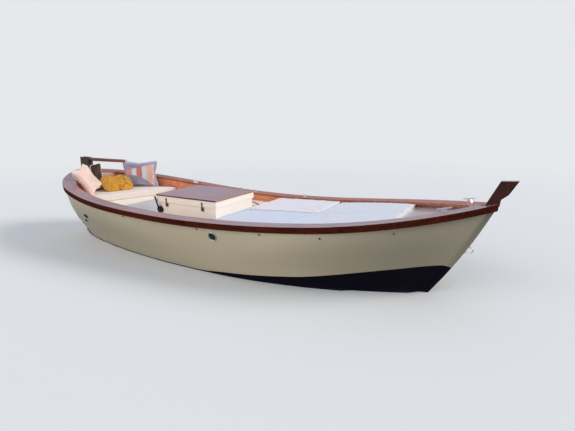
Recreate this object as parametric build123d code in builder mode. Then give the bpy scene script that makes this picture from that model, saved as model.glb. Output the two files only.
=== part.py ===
# Open double-ended motor launch with an engine box amidships, in millimetres.
# X runs forward, Y to port and Z up. Z = 0 is the surface of the water, X = 0 is midships.
import os
from math import cos, radians, sin, tan

from build123d import *

os.makedirs("parts", exist_ok=True)

# Hull sizes
half_length = 3250.0
half_beam = 1080.0
midship_height = 730.0
stern_height = 1033.0
bow_height = 1066.0
hull_draught = 400.0
keel_draught = 600.0
hull_wall = 20.0
stem_half = 32.0
stem_band = 45.0
forefoot_back = 1500.0
forefoot_rise = 130.0
deadwood_back = 610.0
seat_clear = 0.3
moving_clear = 5.0
pin_clear = 0.05

# Rails and woodwork along the sheer
rail_width = 190.0
rail_thickness = 28.0
strake_height = 71.0
strake_inset = 4.0
coaming_thickness = 18.0
coaming_depth = 195.0
deck_thickness = 22.0
stern_deck_drop = 12.0
foredeck_drop = 58.0
stern_deck_length = 400.0
foredeck_length = 950.0
fore_coaming_drop = 20.0
fore_coaming_thickness = 24.0
head_thickness = 60.0
head_length = 160.0
head_height = 200.0

# Inside
sole_height = 100.0
panel = 20.0
seat_front_back = 1450.0
seat_height = 600.0
cushion_thickness = 100.0
cushion_skew = 767.0
platform_height = 530.0
platform_fore_height = 797.0
raised_pad_back = 231.0
pad_arm_y = 452.0
shelf_height = 620.0
shelf_length = 330.0
shelf_side_y = 465.0
soft_clear = 3.0
striped_from_stern = 800.0
striped_off_side = 108.0

# Engine box, lid and engine
box_front_x = 0.0
box_length = 1049.0
box_half_width = 444.0
box_wall = 15.0
lid_top = 857.0
lid_board = 20.0
lid_overhang = 8.0
lid_tray = 15.0
lid_skirt = 85.0
lid_skirt_wall = 12.0
hinge_radius = 8.0
hinge_pin_radius = 4.0
hinge_leaf = 3.0
hinge_length = 90.0
engine_length = 700.0
engine_width = 440.0
engine_bottom = -140.0
engine_height = 640.0
engine_gap = 150.0
bearer_width = 60.0
bearer_overrun = 80.0

# Shaft, propeller and rudder
shaft_radius = 15.0
shaft_angle = 9.0
tube_wall = 12.0
tube_inboard = 740.0
tube_back = 60.0
propeller_back = 510.0
propeller_z = -400.0
propeller_radius = 160.0
hub_radius = 30.0
hub_length = 90.0
blade_count = 3
blade_thickness = 9.0
rudder_back = 190.0
stock_radius = 18.0
rudder_tube_wall = 9.0
rudder_tube_rise = 30.0
blade_front = 90.0
blade_back = 230.0
blade_width = 32.0
blade_bottom = -560.0
blade_hull_gap = 30.0
shoe_thickness = 14.0
shoe_half_width = 25.0
heel_radius = 12.0
head_cheek = 22.0
head_rise = 52.0
head_depth = 155.0
head_chamfer = 42.0
tiller_width = 42.0
tiller_depth = 56.0
tiller_tip_width = 36.0
tiller_tip_depth = 46.0
tiller_length = 1016.0
tiller_side_gap = 1.0
tiller_headroom = 3.0
tiller_rise = 13.0
head_front = 75.0
head_back = 140.0
tiller_bolt_radius = 6.0
tiller_bolt_back = 80.0

# Locker door in the seat front
door_width = 380.0
door_height = 340.0
door_thickness = 18.0
door_low = 180.0
door_side_y = -480.0
door_rebate = 25.0
knob_radius = 14.0
knob_depth = 16.0
knob_inset = 40.0

# Latches and the engine control on the box
latch_width = 36.0
latch_drop = 52.0
latch_gap = 6.0
latch_lever = 8.0
control_inboard = 57.0
control_z = 641.0
control_radius = 50.0
control_depth = 26.0
lever_radius = 11.0
lever_reach = 62.0
lever_rise = 174.0

# Fittings along the rail and on the hull
aft_cleat_from_stern = 1728.0
port_cleat_from_bow = 305.0
starboard_cleat_from_bow = 475.0
cleat_height = 46.0
cleat_width = 24.0
cleat_bar = 14.0
socket_radius = 24.0
socket_bore = 7.0
socket_depth = 30.0
socket_inset = 95.0
filler_radius = 28.0
filler_inset = 95.0
eye_radius = 6.0
eye_loop = 30.0
eye_reach = 62.0
eye_share = 0.475
outlet_thickness = 6.0
vent_radius = 50.0
vent_drop = 175.0
drain_radius = 11.0
drain_drop = 100.0
fore_drain_drop = 130.0
exhaust_radius = 38.0
exhaust_height = 330.0
bilge_radius = 16.0
bilge_height = 215.0
exhaust_back = 460.0

# Places that follow from the sizes above
beyond = 2 * half_length
sheer_overrun = half_length / 8
deadwood_x = deadwood_back - half_length
propeller_x = propeller_back - half_length
rudder_x = rudder_back - half_length
stern_deck_x = stern_deck_length - half_length
seat_front_x = seat_front_back - half_length
tube_front_x = deadwood_x + tube_inboard
forefoot_x = half_length - forefoot_back
fore_coaming_x = half_length - foredeck_length
engine_front_x = box_front_x - engine_gap
head_bottom = stern_height + head_rise
head_top = head_bottom + head_depth

# Lines of the hull. Heights up to the sheer are shares of the midship height and heights
# below water are shares of the draught; X is a share of the half length, Y of the half beam.
# height, stern X, aft joint X and Y, widest X and Y, fore joint X and Y, bow X
underwater = [
    (-1.000, -0.554, -0.460, 0.060, 0.000, 0.120, 0.077, 0.118, 0.500),
    (-0.825, -0.708, -0.585, 0.185, 0.000, 0.389, 0.077, 0.385, 0.600),
    (-0.500, -0.831, -0.660, 0.300, 0.000, 0.574, 0.092, 0.570, 0.717),
]
topsides = [
    (0.000, -0.977, -0.725, 0.397, 0.000, 0.689, 0.092, 0.686, 0.812),
    (0.521, -0.986, -0.751, 0.609, -0.181, 0.858, 0.228, 0.802, 0.891),
    (1.041, -0.9945, -0.701, 0.836, -0.404, 0.9935, 0.409, 0.860, 0.956),
    (1.534, -0.9985, -0.683, 0.881, -0.302, 1.051, 0.345, 0.893, 1.006),
]
# Plan of the rail's outer edge, in the same columns without the height.
rail_plan = (-1.000, -0.700, 0.875, -0.400, 1.012, 0.4615, 0.852, 1.000)


def draw_outline(row, inset, fore_cut=0.0):
    """Draws a double-ended outline of four tangent arcs a side, moved inwards by inset."""
    stern_x, aft_x, aft_y, wide_x, wide_y, fore_x, fore_y, bow_x = row
    widest = (wide_x * half_length, wide_y * half_beam - inset)
    aft_joint = (aft_x * half_length + 0.3 * inset, aft_y * half_beam - 0.95 * inset)
    fore_joint = (fore_x * half_length - 0.12 * inset, fore_y * half_beam - 0.99 * inset)
    stern = (stern_x * half_length + 1.1 * inset, stem_half)
    bow = (bow_x * half_length - 1.45 * inset - fore_cut, stem_half)
    run = TangentArc(widest, aft_joint, tangent=(-1, 0))
    TangentArc(aft_joint, stern, tangent=run % 1)
    shoulder = TangentArc(widest, fore_joint, tangent=(1, 0))
    TangentArc(fore_joint, bow, tangent=shoulder % 1)
    mirror(about=Plane.XZ)
    Line(stern, (stern[0], -stem_half))
    Line(bow, (bow[0], -stem_half))


def plan_prism(inset):
    """An upright prism on the rail's plan, moved inwards by inset."""
    with BuildPart() as prism:
        with BuildSketch():
            with BuildLine():
                draw_outline(rail_plan, inset)
            make_face()
        extrude(amount=beyond, both=True)
    return prism.part


def half_breadth(x, inset):
    """Half the breadth of the rail's plan at x, moved inwards by inset."""
    with BuildLine() as plan:
        draw_outline(rail_plan, inset)
    cross = Edge.make_line((x, 1), (x, beyond))
    return max(point.Y for edge in plan.edges() for point in edge.intersect(cross) or [])


def sheer_curve(rise):
    """Draws the sheer in side view, lifted by rise, with straight ends past the hull."""
    arc = ThreePointArc(
        (-half_length, stern_height + rise),
        (0, midship_height + rise),
        (half_length, bow_height + rise),
    )
    aft_end = arc @ 0 - (arc % 0) * sheer_overrun
    fore_end = arc @ 1 + (arc % 1) * sheer_overrun
    Line(aft_end, arc @ 0)
    Line(arc @ 1, fore_end)
    return aft_end, fore_end


def sheer_band(low, high):
    """Everything between two curves that follow the sheer, given as heights over it."""
    with BuildPart() as band:
        with BuildSketch(Plane.XZ):
            with BuildLine():
                low_aft, low_fore = sheer_curve(low)
                high_aft, high_fore = sheer_curve(high)
                Line(low_aft, high_aft)
                Line(low_fore, high_fore)
            make_face()
        extrude(amount=2 * half_beam, both=True)
    return band.part


def loft_levels(levels):
    """One loft through outlines given as height, plan and inset."""
    with BuildPart() as body:
        for height, plan, inset in levels:
            with BuildSketch(Plane.XY.offset(height)):
                with BuildLine():
                    draw_outline(plan, inset, stem_band)
                make_face()
        loft()
    return body.part


def hull_form(inset):
    """The hull's moulded form, one loft below water and one above, moved inwards by inset."""
    levels = [(share * hull_draught + inset, plan, 0.0) for share, *plan in underwater[:1]]
    rows = [(share * hull_draught, plan) for share, *plan in underwater]
    rows += [(share * midship_height, plan) for share, *plan in topsides]
    for below, above in zip(rows[:-1], rows[1:]):
        flare = (above[1][4] - below[1][4]) * half_beam / (above[0] - below[0])
        levels.append((above[0], above[1], inset * (1 + flare**2) ** 0.5))
    with BuildPart() as form:
        add(loft_levels(levels[: len(underwater) + 1]))
        add(loft_levels(levels[len(underwater) :]))
    return form.part


# The sheer is one circle through its heights at stern, midships and bow.
sheer_lift = stern_height + bow_height - 2 * midship_height
sheer_squares = stern_height**2 + bow_height**2 - 2 * midship_height**2
sheer_centre_z = (2 * half_length**2 + sheer_squares) / (2 * sheer_lift)
sheer_span = bow_height**2 + half_length**2 - midship_height**2
sheer_centre_x = (sheer_span - 2 * sheer_centre_z * (bow_height - midship_height)) / (2 * half_length)
sheer_radius = (sheer_centre_x**2 + (sheer_centre_z - midship_height) ** 2) ** 0.5


def sheer_height(x):
    """Height of the sheer at x."""
    return sheer_centre_z - (sheer_radius**2 - (x - sheer_centre_x) ** 2) ** 0.5


def rail_plane(x, y):
    """A plane lying on top of the cap rail at x and y."""
    slope = (x - sheer_centre_x) / (sheer_centre_z - sheer_height(x))
    origin = (x, y, sheer_height(x) + seat_clear)
    return Plane(origin=origin, x_dir=(1, 0, slope), z_dir=(-slope, 0, 1))


def block(x_range, y_range, z_range):
    """A plain box between two limits along each axis."""
    with BuildPart() as solid:
        with Locations(Vector(x_range[0], y_range[0], z_range[0])):
            Box(
                x_range[1] - x_range[0],
                y_range[1] - y_range[0],
                z_range[1] - z_range[0],
                align=(Align.MIN, Align.MIN, Align.MIN),
            )
    return solid.part


def side_prism(points, y_range):
    """A prism with its outline given in side view, between two values of Y."""
    with BuildPart() as prism:
        with BuildSketch(Plane.XZ.offset(-y_range[0])):
            with BuildLine():
                Polyline(*points, close=True)
            make_face()
        extrude(amount=y_range[0] - y_range[1])
    return prism.part


def finish(part, label):
    """Labels a finished piece and writes it."""
    part.label = label
    export_step(part, f"parts/{label}.step")
    print(label, round(part.volume / 1e6, 2), "litres")


outer_form = hull_form(0.0)
inner_form = hull_form(hull_wall)
inside = hull_form(hull_wall + seat_clear)
deck_high = sheer_band(-beyond, -rail_thickness)

# Shaft line: a plane square to the shaft at the propeller, looking forward
shaft_rise = tan(radians(shaft_angle))
shaft_plane = Plane(
    origin=(propeller_x, 0, propeller_z),
    x_dir=(0, 1, 0),
    z_dir=(cos(radians(shaft_angle)), 0, sin(radians(shaft_angle))),
)
tube_radius = shaft_radius + pin_clear + tube_wall
rudder_tube_radius = stock_radius + pin_clear + rudder_tube_wall

# Hull shell: one moulding, bored for the shaft tube and the rudder tube
with BuildPart() as tube_bores:
    with Locations(shaft_plane):
        Cylinder(
            tube_radius + seat_clear,
            tube_front_x - propeller_x + hull_wall,
            align=(Align.CENTER, Align.CENTER, Align.MIN),
        )
    with Locations((rudder_x, 0, -hull_draught)):
        Cylinder(
            rudder_tube_radius + seat_clear,
            hull_draught + stern_height / 2,
            align=(Align.CENTER, Align.CENTER, Align.MIN),
        )
with BuildPart() as hull_shell:
    add(outer_form)
    add(deck_high, mode=Mode.INTERSECT)
    add(inner_form, mode=Mode.SUBTRACT)
    add(tube_bores.part, mode=Mode.SUBTRACT)
finish(hull_shell.part, "hull_shell")

# Backbone: stem band, forefoot, keel and deadwood in one piece under the shell
strake_skin = hull_form(-seat_clear)
with BuildPart() as keel:
    with BuildSketch(Plane.XZ):
        with BuildLine():
            stem_top = (half_length, bow_height)
            stem_middle = (topsides[2][8] * half_length, topsides[2][0] * midship_height)
            stem_foot = (topsides[0][8] * half_length, 0)
            stem = ThreePointArc(stem_top, stem_middle, stem_foot)
            eye_point = Plane.XZ.from_local_coords(stem @ eye_share)
            forefoot = TangentArc(stem_foot, (forefoot_x, -keel_draught + forefoot_rise), tangent=stem % 1)
            keel_aft = (deadwood_x, -keel_draught)
            run_top = (deadwood_x, -0.3 * hull_draught)
            inboard = (fore_coaming_x, bow_height)
            Line(forefoot @ 1, keel_aft)
            Line(keel_aft, run_top)
            Line(run_top, (0, 0))
            Line((0, 0), inboard)
            Line(inboard, stem_top)
        make_face()
    extrude(amount=stem_half, both=True)
    add(deck_high, mode=Mode.INTERSECT)
    add(strake_skin, mode=Mode.SUBTRACT)
    add(tube_bores.part, mode=Mode.SUBTRACT)
finish(keel.part, "keel")

# Cap rails: boards end to end on top of the shell, with the breasthook at the bow
socket_shares = (-0.1865, 0.1825)
board_joints = (-0.57, socket_shares[0], socket_shares[1], 0.56)
seam = block((-beyond, beyond), (-seat_clear / 2, seat_clear / 2), (0, beyond))
head_slot = (half_length - head_length, beyond)
with BuildPart() as rail_ring:
    add(plan_prism(0.0))
    add(plan_prism(rail_width), mode=Mode.SUBTRACT)
    add(sheer_band(-rail_thickness + seat_clear, 0.0), mode=Mode.INTERSECT)
    add(
        block(head_slot, (-head_thickness / 2 - seat_clear, head_thickness / 2 + seat_clear), (0, beyond)),
        mode=Mode.SUBTRACT,
    )
    with Locations((rudder_x, 0, stern_height)):
        Cylinder(rudder_tube_radius + seat_clear, 400, mode=Mode.SUBTRACT)
    add(seam, mode=Mode.SUBTRACT)
    for joint_share in board_joints:
        joint_x = joint_share * half_length
        joint_range = (joint_x - seat_clear / 2, joint_x + seat_clear / 2)
        add(block(joint_range, (-beyond, beyond), (0, beyond)), mode=Mode.SUBTRACT)
finish(rail_ring.part, "cap_rails")

# Rubbing strakes: outside the shell under the rail, cut to the shell's flare
with BuildPart() as strake_ring:
    add(plan_prism(strake_inset))
    add(strake_skin, mode=Mode.SUBTRACT)
    add(sheer_band(-strake_height, -rail_thickness), mode=Mode.INTERSECT)
    add(
        block((fore_coaming_x, beyond), (-stem_half - seat_clear, stem_half + seat_clear), (0, beyond)),
        mode=Mode.SUBTRACT,
    )
    add(seam, mode=Mode.SUBTRACT)
finish(strake_ring.part, "rubbing_strakes")

# Coaming boards: under the rail's inner edge, from the stern deck to the bow
with BuildPart() as coaming_ring:
    add(plan_prism(rail_width - coaming_thickness))
    add(plan_prism(rail_width), mode=Mode.SUBTRACT)
    add(sheer_band(-coaming_depth, -rail_thickness), mode=Mode.INTERSECT)
    add(block((stern_deck_x + panel, beyond), (-beyond, beyond), (0, beyond)), mode=Mode.INTERSECT)
    add(seam, mode=Mode.SUBTRACT)
finish(coaming_ring.part, "coamings")

# Stem head: a raked board in the slot between the rails, standing on the stem
with BuildPart() as stem_head:
    with BuildSketch(Plane.XZ):
        with BuildLine():
            Polyline(
                (half_length - 174, bow_height - 120),
                (half_length - 6, bow_height + head_height + 31),
                (half_length + 156, bow_height + head_height + 42),
                (half_length + 75, bow_height + 97),
                (half_length + 12, bow_height + 45),
                (half_length - 6, bow_height - 120),
                close=True,
            )
        make_face()
    extrude(amount=head_thickness / 2, both=True)
    add(sheer_band(-rail_thickness + seat_clear, 2 * head_height), mode=Mode.INTERSECT)
finish(stem_head.part, "stem_head")

# Stern deck, foredeck and the boards that close them off
well = plan_prism(rail_width + seat_clear)
with BuildPart() as stern_deck:
    add(well)
    add(sheer_band(-stern_deck_drop - deck_thickness, -stern_deck_drop), mode=Mode.INTERSECT)
    add(block((-beyond, stern_deck_x), (-beyond, beyond), (0, beyond)), mode=Mode.INTERSECT)
    with Locations((rudder_x, 0, 0)):
        Cylinder(
            rudder_tube_radius + seat_clear,
            beyond,
            mode=Mode.SUBTRACT,
        )
finish(stern_deck.part, "stern_deck")

backrest_front_x = stern_deck_x + coaming_thickness
with BuildPart() as stern_backrest:
    add(inside)
    add(block((stern_deck_x, backrest_front_x), (-beyond, beyond), (-beyond, beyond)), mode=Mode.INTERSECT)
    add(sheer_band(-beyond, -stern_deck_drop - deck_thickness - seat_clear), mode=Mode.INTERSECT)
finish(stern_backrest.part, "stern_backrest")

with BuildPart() as foredeck:
    add(well)
    add(sheer_band(-foredeck_drop - deck_thickness, -foredeck_drop), mode=Mode.INTERSECT)
    foredeck_x = fore_coaming_x + fore_coaming_thickness + seat_clear
    add(block((foredeck_x, beyond), (-beyond, beyond), (0, beyond)), mode=Mode.INTERSECT)
finish(foredeck.part, "foredeck")

with BuildPart() as fore_coaming:
    coaming_z = (platform_fore_height, sheer_height(fore_coaming_x) - fore_coaming_drop)
    coaming_x = (fore_coaming_x, fore_coaming_x + fore_coaming_thickness)
    add(block(coaming_x, (-beyond, beyond), coaming_z))
    add(well, mode=Mode.INTERSECT)
    add(inside, mode=Mode.INTERSECT)
    add(block((0, beyond), (-soft_clear / 2, soft_clear / 2), (0, beyond)), mode=Mode.SUBTRACT)
finish(fore_coaming.part, "fore_coaming")

# Sole, aft seat and sunbed platform, all trimmed to the inside of the shell
wall_front_x = box_front_x - lid_skirt_wall - moving_clear
wall_back_x = box_front_x - box_length + lid_skirt_wall + moving_clear
wall_half_width = box_half_width - lid_skirt_wall - moving_clear
platform_back_x = wall_front_x + seat_clear
hatch_clear = 2 * box_wall
with BuildPart() as sole:
    add(inside)
    sole_x = (seat_front_x - 2 * panel, platform_back_x + 2 * panel)
    add(block(sole_x, (-beyond, beyond), (sole_height - panel, sole_height)), mode=Mode.INTERSECT)
    hatch_x = (wall_back_x + hatch_clear, wall_front_x - hatch_clear)
    hatch_y = (hatch_clear - wall_half_width, wall_half_width - hatch_clear)
    add(block(hatch_x, hatch_y, (0, 2 * sole_height)), mode=Mode.SUBTRACT)
finish(sole.part, "sole")

door_y = (door_side_y, door_side_y + door_width)
door_z = (door_low, door_low + door_height)
opening_y = (door_y[0] + door_rebate, door_y[1] - door_rebate)
opening_z = (door_z[0] + door_rebate, door_z[1] - door_rebate)
with BuildPart() as aft_seat:
    add(block((backrest_front_x + seat_clear, seat_front_x), (-beyond, beyond), (sole_height, seat_height)))
    hollow_x = (backrest_front_x - 100, seat_front_x - panel)
    add(block(hollow_x, (-beyond, beyond), (0, seat_height - panel)), mode=Mode.SUBTRACT)
    add(block((seat_front_x - 100, seat_front_x + 100), opening_y, opening_z), mode=Mode.SUBTRACT)
    add(inside, mode=Mode.INTERSECT)
finish(aft_seat.part, "aft_seat")

# The platform climbs evenly from the engine box to the fore coaming, and a shelf beside the box joins it
platform_slope = (platform_fore_height - platform_height) / (fore_coaming_x - platform_back_x)
platform_end_x = fore_coaming_x + 2 * fore_coaming_thickness
hollow_slope_x = platform_back_x + panel
hollow_slope_z = platform_height + platform_slope * panel - panel
shelf_x = (-shelf_length, raised_pad_back - seat_clear)
with BuildPart() as coaming_zone:
    add(sheer_band(-coaming_depth - seat_clear, 0.0))
    add(well, mode=Mode.SUBTRACT)
with BuildPart() as sunbed_platform:
    platform_side = [
        (platform_back_x, sole_height),
        (platform_back_x, platform_height),
        (fore_coaming_x, platform_fore_height),
        (platform_end_x, platform_fore_height),
        (platform_end_x, sole_height),
    ]
    add(side_prism(platform_side, (-beyond, beyond)))
    add(block(shelf_x, (shelf_side_y, beyond), (sole_height, shelf_height)))
    platform_hollow = [
        (hollow_slope_x, 0),
        (hollow_slope_x, hollow_slope_z),
        (fore_coaming_x, platform_fore_height - panel),
        (beyond, platform_fore_height - panel),
        (beyond, 0),
    ]
    add(side_prism(platform_hollow, (-beyond, beyond)), mode=Mode.SUBTRACT)
    shelf_hollow_x = (shelf_x[0] + panel, hollow_slope_x)
    shelf_hollow_z = (0, shelf_height - panel)
    add(block(shelf_hollow_x, (shelf_side_y + panel, beyond), shelf_hollow_z), mode=Mode.SUBTRACT)
    add(inside, mode=Mode.INTERSECT)
    add(coaming_zone.part, mode=Mode.SUBTRACT)
finish(sunbed_platform.part, "sunbed_platform")

# Engine box on the sole, the engine in it as one block, and the beds that carry it
lid_seat = lid_top - lid_board - lid_tray
with BuildPart() as engine_box:
    box_y = (-wall_half_width, wall_half_width)
    add(block((wall_back_x, wall_front_x), box_y, (sole_height, lid_seat - seat_clear)))
    core_x = (wall_back_x + box_wall, wall_front_x - box_wall)
    core_y = (box_wall - wall_half_width, wall_half_width - box_wall)
    add(block(core_x, core_y, (0, beyond)), mode=Mode.SUBTRACT)
finish(engine_box.part, "engine_box")

engine_x = (engine_front_x - engine_length, engine_front_x)
with BuildPart() as engine_block:
    half_engine = engine_width / 2
    add(block(engine_x, (-half_engine, half_engine), (engine_bottom, engine_bottom + engine_height)))
finish(engine_block.part, "engine_block")

with BuildPart() as engine_beds:
    bed_x = (engine_x[0] - bearer_overrun, engine_x[1] + bearer_overrun)
    outer_y = engine_width / 2
    add(block(bed_x, (-outer_y, outer_y), (-hull_draught, engine_bottom)))
    inner_y = outer_y - bearer_width
    add(block(bed_x, (-inner_y, inner_y), (-hull_draught, 0)), mode=Mode.SUBTRACT)
    add(inside, mode=Mode.INTERSECT)
finish(engine_beds.part, "engine_beds")

# Lid: a moulded tray with a skirt over the box and a hardwood board on top
skirt_bottom = lid_top - lid_board - lid_skirt
lid_x = (box_front_x - box_length, box_front_x)
lid_y = (-box_half_width, box_half_width)
with BuildPart() as engine_lid:
    add(block(lid_x, lid_y, (skirt_bottom, lid_top - lid_board)))
    fillet(engine_lid.edges().filter_by(Axis.Z), radius=lid_skirt_wall)
    inner_x = (lid_x[0] + lid_skirt_wall, lid_x[1] - lid_skirt_wall)
    inner_y = (lid_y[0] + lid_skirt_wall, lid_y[1] - lid_skirt_wall)
    add(block(inner_x, inner_y, (0, lid_seat)), mode=Mode.SUBTRACT)
finish(engine_lid.part, "engine_lid")

with BuildPart() as lid_top_board:
    board_x = (lid_x[0] - lid_overhang, lid_x[1] + lid_overhang)
    board_y = (lid_y[0] - lid_overhang, lid_y[1] + lid_overhang)
    add(block(board_x, board_y, (lid_top - lid_board, lid_top)))
    fillet(lid_top_board.edges().filter_by(Axis.Z), radius=lid_board)
    chamfer(lid_top_board.faces().sort_by(Axis.Z)[-1].edges(), length=lid_board / 5)
finish(lid_top_board.part, "lid_board")

# Two butt hinges on the port side: a leaf and the middle knuckle stay on the box
hinge_y = box_half_width + hinge_radius + 1.0
hinge_stations = (box_front_x - 0.2 * box_length, box_front_x - 0.8 * box_length)
knuckle = hinge_length / 3
with BuildPart() as box_hinges:
    for hinge_x in hinge_stations:
        leaf_x = (hinge_x - knuckle / 2 + 1, hinge_x + knuckle / 2 - 1)
        leaf_z = (skirt_bottom - 52, skirt_bottom - 5)
        add(block(leaf_x, (wall_half_width + seat_clear, wall_half_width + hinge_leaf), leaf_z))
        add(block(leaf_x, (wall_half_width + hinge_leaf, hinge_y), (leaf_z[1] - 7, leaf_z[1])))
        with Locations(Location((hinge_x, hinge_y, skirt_bottom), (0, 90, 0))):
            Cylinder(hinge_radius, knuckle - 2)
            Cylinder(hinge_pin_radius + pin_clear, hinge_length, mode=Mode.SUBTRACT)
finish(box_hinges.part, "box_hinges")

with BuildPart() as lid_hinges:
    for hinge_x in hinge_stations:
        for end in (-1, 1):
            leaf_x = (hinge_x + end * knuckle - knuckle / 2, hinge_x + end * knuckle + knuckle / 2)
            leaf_y = (box_half_width, box_half_width + hinge_leaf)
            add(block(leaf_x, leaf_y, (skirt_bottom, skirt_bottom + 45)))
            with Locations(Location((hinge_x + end * knuckle, hinge_y, skirt_bottom), (0, 90, 0))):
                Cylinder(hinge_radius, knuckle)
        with Locations(Location((hinge_x, hinge_y, skirt_bottom), (0, 90, 0))):
            Cylinder(hinge_pin_radius, hinge_length)
finish(lid_hinges.part, "lid_hinges")

# Toggle latches on the starboard side: bodies on the box, keepers on the lid
latch_stations = (box_front_x - 0.22 * box_length, box_front_x - 0.825 * box_length)
with BuildPart() as box_latches:
    for latch_x in latch_stations:
        latch_range = (latch_x - latch_width / 2, latch_x + latch_width / 2)
        body_z = (skirt_bottom - latch_gap - latch_drop, skirt_bottom - latch_gap)
        add(block(latch_range, (-box_half_width, -wall_half_width), body_z))
        lever_range = (latch_x - latch_width / 4, latch_x + latch_width / 4)
        add(block(lever_range, (-box_half_width - latch_lever, -box_half_width), (body_z[0] + latch_gap, body_z[1])))
finish(box_latches.part, "box_latches")

with BuildPart() as lid_keepers:
    for latch_x in latch_stations:
        plate_range = (latch_x - latch_width / 3, latch_x + latch_width / 3)
        plate_z = (skirt_bottom, skirt_bottom + 0.7 * lid_skirt)
        add(block(plate_range, (-box_half_width - 3, -box_half_width), plate_z))
        hook_range = (latch_x - latch_width / 4, latch_x + latch_width / 4)
        add(block(hook_range, (-box_half_width - 10, -box_half_width), (plate_z[1] - 20, plate_z[1])))
finish(lid_keepers.part, "lid_keepers")

# Single-lever engine control on the box's starboard side
control_x = box_front_x - box_length + control_inboard
lever_top = (control_x - lever_reach, control_z + lever_rise)
with BuildPart() as engine_control:
    face_plane = Plane(origin=(control_x, -wall_half_width, control_z), x_dir=(1, 0, 0), z_dir=(0, -1, 0))
    with BuildSketch(face_plane):
        Circle(control_radius)
    extrude(amount=control_depth, taper=8)
    with BuildSketch(face_plane.offset(control_depth)):
        Circle(control_radius / 2)
    extrude(amount=control_depth / 2)
    lever_y = -wall_half_width - 1.25 * control_depth
    lever_start = Vector(control_x, lever_y, control_z)
    lever_end = Vector(lever_top[0], lever_y - 6, lever_top[1])
    lever_run = lever_end - lever_start
    with BuildSketch(Plane(origin=lever_start, z_dir=lever_run)):
        Circle(lever_radius)
    extrude(amount=lever_run.length)
    with Locations(lever_end):
        Sphere(1.2 * lever_radius)
finish(engine_control.part, "engine_control")

# Locker door in the seat front, hung on a pin at its starboard edge
door_back_x = seat_front_x + seat_clear
door_pin_x = door_back_x + door_thickness
door_pin_y = door_y[0] - hinge_radius - 1.0
with BuildPart() as locker_door:
    add(block((door_back_x, door_back_x + door_thickness), door_y, door_z))
    chamfer(locker_door.faces().sort_by(Axis.X)[-1].edges(), length=3)
    knob_plane = Plane(
        origin=(door_back_x + door_thickness, door_y[1] - knob_inset, door_z[1] - knob_inset),
        x_dir=(0, 1, 0),
        z_dir=(1, 0, 0),
    )
    with BuildSketch(knob_plane):
        Circle(knob_radius)
    extrude(amount=knob_depth, taper=12)
finish(locker_door.part, "locker_door")

door_hinge_z = (door_z[0] + 60, door_z[1] - 60)
with BuildPart() as door_hinges:
    for pin_z in door_hinge_z:
        strap_y = (door_pin_y, door_y[0] + 40)
        strap_x = (door_pin_x, door_pin_x + hinge_leaf)
        for end in (-1, 1):
            centre = pin_z + end * 20
            add(block(strap_x, strap_y, (centre - 10, centre + 10)))
            with Locations((door_pin_x, door_pin_y, centre)):
                Cylinder(hinge_radius, 20)
        with Locations((door_pin_x, door_pin_y, pin_z)):
            Cylinder(hinge_pin_radius, 60)
finish(door_hinges.part, "door_hinges")

with BuildPart() as seat_hinges:
    for pin_z in door_hinge_z:
        strap_x = (seat_front_x, seat_front_x + hinge_leaf)
        add(block(strap_x, (door_pin_y - 42, door_pin_y - 2), (pin_z - 9, pin_z + 9)))
        add(block((seat_front_x, door_pin_x), (door_pin_y - 5, door_pin_y - 2), (pin_z - 9, pin_z + 9)))
        with Locations((door_pin_x, door_pin_y, pin_z)):
            Cylinder(hinge_radius, 18)
            Cylinder(hinge_pin_radius + pin_clear, 60, mode=Mode.SUBTRACT)
finish(seat_hinges.part, "seat_hinges")

# Shaft tube, shaft and propeller
shaft_length = (engine_x[0] - moving_clear - propeller_x) / cos(radians(shaft_angle))
tube_length = (tube_front_x - propeller_x) / cos(radians(shaft_angle)) - tube_back
with BuildPart() as shaft_tube:
    with Locations(shaft_plane.offset(tube_back)):
        Cylinder(tube_radius, tube_length, align=(Align.CENTER, Align.CENTER, Align.MIN))
        Cylinder(
            shaft_radius + pin_clear,
            tube_length,
            align=(Align.CENTER, Align.CENTER, Align.MIN),
            mode=Mode.SUBTRACT,
        )
finish(shaft_tube.part, "shaft_tube")

with BuildPart() as propeller_shaft:
    with Locations(shaft_plane.offset(hub_length / 2 + seat_clear)):
        Cylinder(
            shaft_radius,
            shaft_length - hub_length / 2,
            align=(Align.CENTER, Align.CENTER, Align.MIN),
        )
finish(propeller_shaft.part, "propeller_shaft")

root_pitch = 58.0
tip_pitch = 26.0
root_chord = 62.0
tip_chord = 96.0
with BuildPart() as one_blade:
    sections = ((0.6 * hub_radius, root_chord, root_pitch), (0.6 * propeller_radius, tip_chord, 36.0))
    sections += ((propeller_radius, 0.5 * tip_chord, tip_pitch),)
    for radius, chord, pitch in sections:
        turn = radians(pitch)
        blade_plane = Plane(
            origin=shaft_plane.from_local_coords((radius, 0, 0)),
            x_dir=shaft_plane.y_dir * cos(turn) + shaft_plane.z_dir * sin(turn),
            z_dir=shaft_plane.x_dir,
        )
        with BuildSketch(blade_plane):
            with BuildLine():
                half_chord = chord / 2
                ThreePointArc((-half_chord, 0), (0, blade_thickness / 2), (half_chord, 0))
                ThreePointArc((half_chord, 0), (0, -blade_thickness / 2), (-half_chord, 0))
            make_face()
    loft()
with BuildPart() as propeller:
    with BuildSketch(shaft_plane.offset(-hub_length / 2)):
        Circle(0.7 * hub_radius)
    with BuildSketch(shaft_plane.offset(-hub_length / 4)):
        Circle(hub_radius)
    with BuildSketch(shaft_plane.offset(hub_length / 2)):
        Circle(hub_radius)
    loft(ruled=True)
    for index in range(blade_count):
        turned = one_blade.part.rotate(Axis(shaft_plane.origin, shaft_plane.z_dir), index * 360 / blade_count)
        add(turned)
finish(propeller.part, "propeller")

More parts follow.
